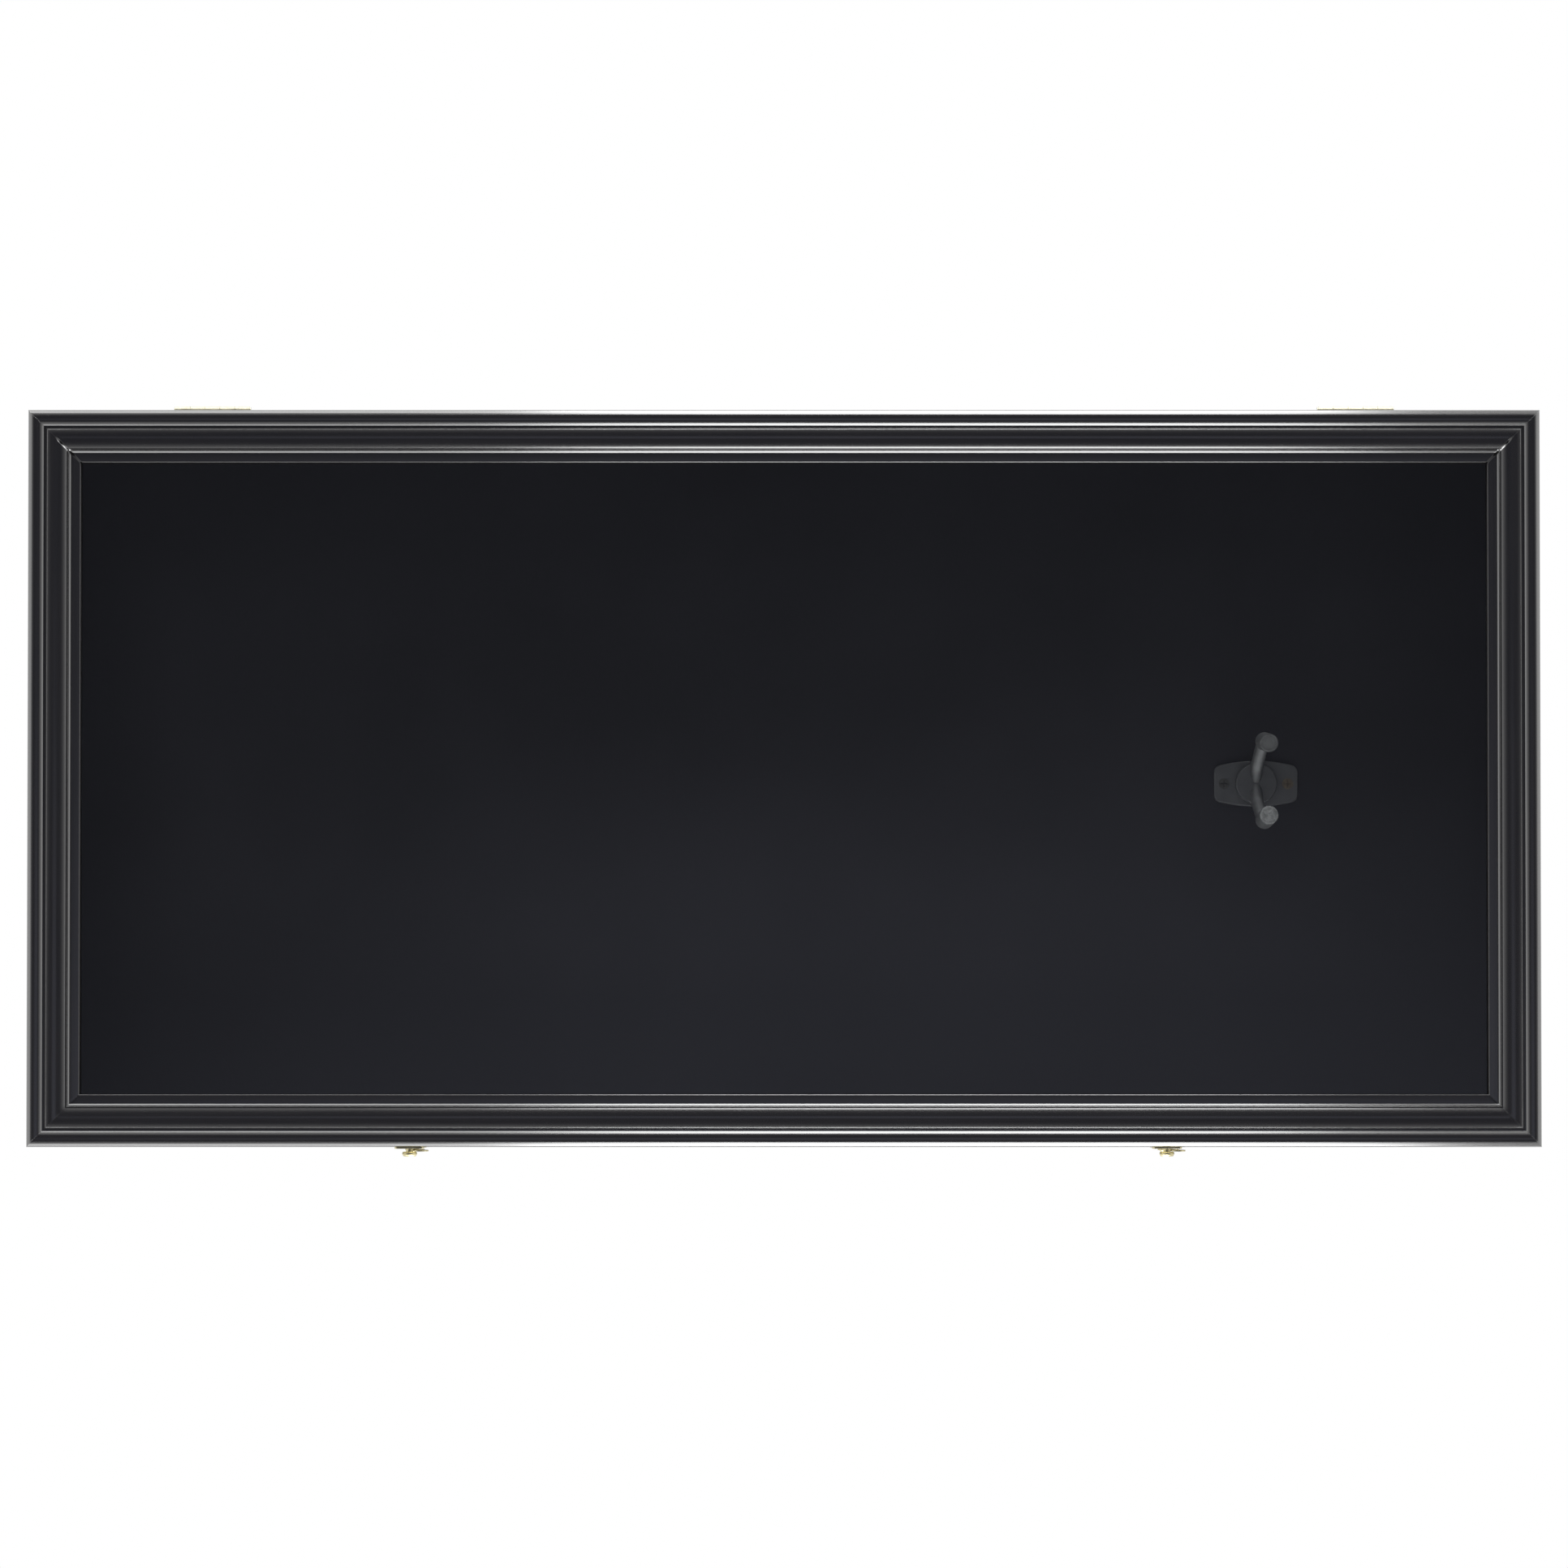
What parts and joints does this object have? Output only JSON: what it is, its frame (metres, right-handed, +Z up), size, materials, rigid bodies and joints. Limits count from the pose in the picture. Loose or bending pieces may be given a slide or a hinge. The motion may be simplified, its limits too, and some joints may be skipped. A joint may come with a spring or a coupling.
{
  "type": "guitar display case",
  "caption": "Shallow wall case for one guitar: mitred black wood box, felt back, padded neck yoke and a framed clear door hinged along one long side and hooked shut.",
  "frame": {"origin": "middle of the flat back face, which lies against the wall", "axes": "+X along the case to the right as seen from the front, +Y into the wall, +Z up; the door faces -Y"},
  "size_m": [1.219, 0.152, 0.6062],
  "materials": {
    "black_wood": "satin black paint",
    "black_strip": "matte black paint",
    "back_board": "black stained board",
    "black_felt": "short black felt",
    "bumper": "soft, matte",
    "clear_acrylic": "clear polished sheet",
    "brass": "bright plated",
    "black_metal": "matte black",
    "black_rubber": "soft, matte",
    "black_cap": "moulded, matte",
    "dark_screw": "blackened",
    "zinc_steel": "zinc plated"
  },
  "bodies": {
    "case": {"box_top_board": "black_wood", "box_bottom_board": "black_wood", "box_left_board": "black_wood", "box_right_board": "black_wood", "back_panel": "back_board", "felt_lining": "black_felt", "door_bumpers": "bumper", "back_panel_screws": "dark_screw", "hanger_screws": "dark_screw", "keyhole_plate_left": "zinc_steel", "keyhole_plate_right": "zinc_steel", "keyhole_screws": "zinc_steel", "hinge_left_box_leaf": "brass", "hinge_left_pin": "brass", "latch_left_box_plate": "brass", "latch_left_pivot": "brass", "hinge_right_box_leaf": "brass", "hinge_right_pin": "brass", "latch_right_box_plate": "brass", "latch_right_pivot": "brass", "hinge_box_screws": "brass", "latch_box_screws": "brass", "hanger_base": "black_metal"},
    "door": {"door_top_rail": "black_wood", "door_bottom_rail": "black_wood", "door_left_stile": "black_wood", "door_right_stile": "black_wood", "glazing_strip_top": "black_strip", "glazing_strip_bottom": "black_strip", "glazing_strip_left": "black_strip", "glazing_strip_right": "black_strip", "clear_panel": "clear_acrylic", "glazing_pins": "zinc_steel", "hinge_door_screws": "brass", "latch_door_screws": "brass", "hinge_left_door_leaf": "brass", "hinge_right_door_leaf": "brass", "latch_left_door_plate": "brass", "latch_left_knob": "brass", "latch_right_door_plate": "brass", "latch_right_knob": "brass"},
    "yoke": {"hanger_yoke": "black_metal", "hanger_sleeve_upper": "black_rubber", "hanger_sleeve_lower": "black_rubber", "hanger_cap_upper": "black_cap", "hanger_cap_lower": "black_cap"},
    "hook_left": {"latch_left_hook": "brass"},
    "hook_right": {"latch_right_hook": "brass"}
  },
  "joints": [
    {"name": "door_hinge", "type": "hinge", "parent": "case", "child": "door", "pos_m": [0, -0.12935, 0.2985], "axis": [-1, 0, 0], "range_deg": [0, 175]},
    {"name": "yoke_swivel", "type": "hinge", "parent": "case", "child": "yoke", "pos_m": [0.393, -0.021, 0], "axis": [0, -1, 0], "range_deg": [-30, 30]},
    {"name": "left_hook_pivot", "type": "hinge", "parent": "case", "child": "hook_left", "pos_m": [-0.3015, -0.11535, -0.3001], "axis": [0, 0, 1], "range_deg": [-20, 60]},
    {"name": "right_hook_pivot", "type": "hinge", "parent": "case", "child": "hook_right", "pos_m": [0.3084, -0.11535, -0.3001], "axis": [0, 0, 1], "range_deg": [-20, 60]}
  ]
}
